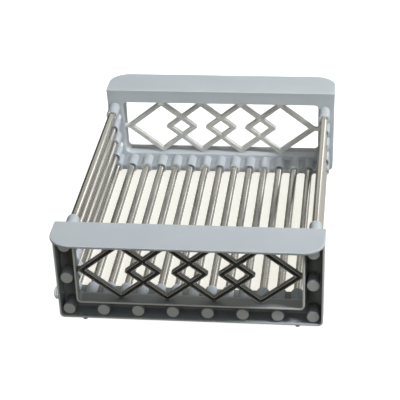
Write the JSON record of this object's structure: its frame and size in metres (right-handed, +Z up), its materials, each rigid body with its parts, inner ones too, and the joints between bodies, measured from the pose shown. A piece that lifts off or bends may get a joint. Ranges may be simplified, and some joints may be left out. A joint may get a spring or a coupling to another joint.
{
  "type": "expandable over-sink rack",
  "caption": "Expandable over-sink drain rack: two pale grey plastic end frames with diamond lattices and hooked top plates, joined by telescoping steel rods that form a tray.",
  "frame": {"origin": "centre of the rack's box, on the plane that the feet stand on, with the rack pushed together", "axes": "+X across the rack, +Y along the rods from the near end to the far end that slides, +Z up"},
  "size_m": [0.2486, 0.358, 0.0943],
  "materials": {
    "grey_plastic": "satin moulded polypropylene, pale blue-grey",
    "tube_steel": "polished stainless steel tube",
    "rod_steel": "polished stainless steel",
    "foot_rubber": "soft matte grey",
    "clear_knob": "clear soft plastic"
  },
  "bodies": {
    "near_end": {"near_end_frame": "grey_plastic", "near_foot_left": "foot_rubber", "near_foot_right": "foot_rubber", "near_side_knob": "clear_knob", "rod_floor_01": "rod_steel", "rod_floor_03": "rod_steel", "rod_floor_05": "rod_steel", "rod_floor_07": "rod_steel", "rod_floor_09": "rod_steel", "rod_floor_11": "rod_steel", "rod_floor_13": "rod_steel", "rod_floor_15": "rod_steel", "rod_left_1": "rod_steel", "rod_left_3": "rod_steel", "rod_right_1": "rod_steel", "rod_right_3": "rod_steel", "tube_floor_02": "tube_steel", "tube_floor_04": "tube_steel", "tube_floor_06": "tube_steel", "tube_floor_08": "tube_steel", "tube_floor_10": "tube_steel", "tube_floor_12": "tube_steel", "tube_floor_14": "tube_steel", "tube_left_2": "tube_steel", "tube_left_4": "tube_steel", "tube_right_2": "tube_steel", "tube_right_4": "tube_steel"},
    "far_end": {"far_end_frame": "grey_plastic", "far_foot_left": "foot_rubber", "far_foot_right": "foot_rubber", "rod_floor_02": "rod_steel", "rod_floor_04": "rod_steel", "rod_floor_06": "rod_steel", "rod_floor_08": "rod_steel", "rod_floor_10": "rod_steel", "rod_floor_12": "rod_steel", "rod_floor_14": "rod_steel", "rod_left_2": "rod_steel", "rod_left_4": "rod_steel", "rod_right_2": "rod_steel", "rod_right_4": "rod_steel", "tube_floor_01": "tube_steel", "tube_floor_03": "tube_steel", "tube_floor_05": "tube_steel", "tube_floor_07": "tube_steel", "tube_floor_09": "tube_steel", "tube_floor_11": "tube_steel", "tube_floor_13": "tube_steel", "tube_floor_15": "tube_steel", "tube_left_1": "tube_steel", "tube_left_3": "tube_steel", "tube_right_1": "tube_steel", "tube_right_3": "tube_steel"}
  },
  "joints": [
    {"name": "far_end_slide", "type": "slide", "parent": "near_end", "child": "far_end", "axis": [0, 1, 0], "range_m": [0, 0.15]}
  ]
}
